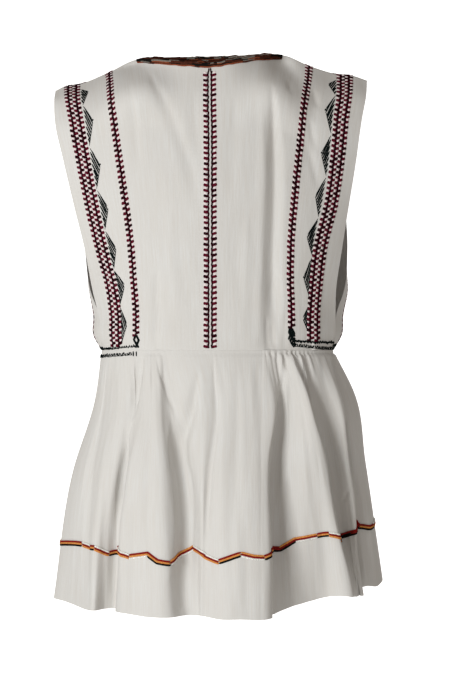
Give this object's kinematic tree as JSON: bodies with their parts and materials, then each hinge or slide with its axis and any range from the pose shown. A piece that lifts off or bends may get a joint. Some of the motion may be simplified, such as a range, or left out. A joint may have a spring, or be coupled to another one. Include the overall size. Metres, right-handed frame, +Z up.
{
  "type": "sleeveless embroidered top",
  "caption": "Sleeveless folk top in pale cotton, with long open armholes, a skirt gathered into a waist seam, ladder embroidery down the front and a zigzag braid above the hem.",
  "frame": {"origin": "between the shoulders, in the middle of the neck opening at the height of the neck corners, where the wearer's shoulders hold the top", "axes": "+Z up, -Y the front, +X to the right as seen from the front"},
  "size_m": [0.5203, 0.3333, 0.8665],
  "materials": {
    "cotton": "matt plain weave with slubs",
    "binding": "matt wool thread",
    "braid": "matt wool yarn"
  },
  "bodies": {
    "root": {"body_panel": "cotton", "shoulder_strip_left": "cotton", "shoulder_strip_right": "cotton", "skirt_front": "cotton", "skirt_side_left": "cotton", "skirt_side_right": "cotton", "skirt_back": "cotton", "neck_binding": "binding", "hem_braid": "braid"}
  },
  "joints": []
}
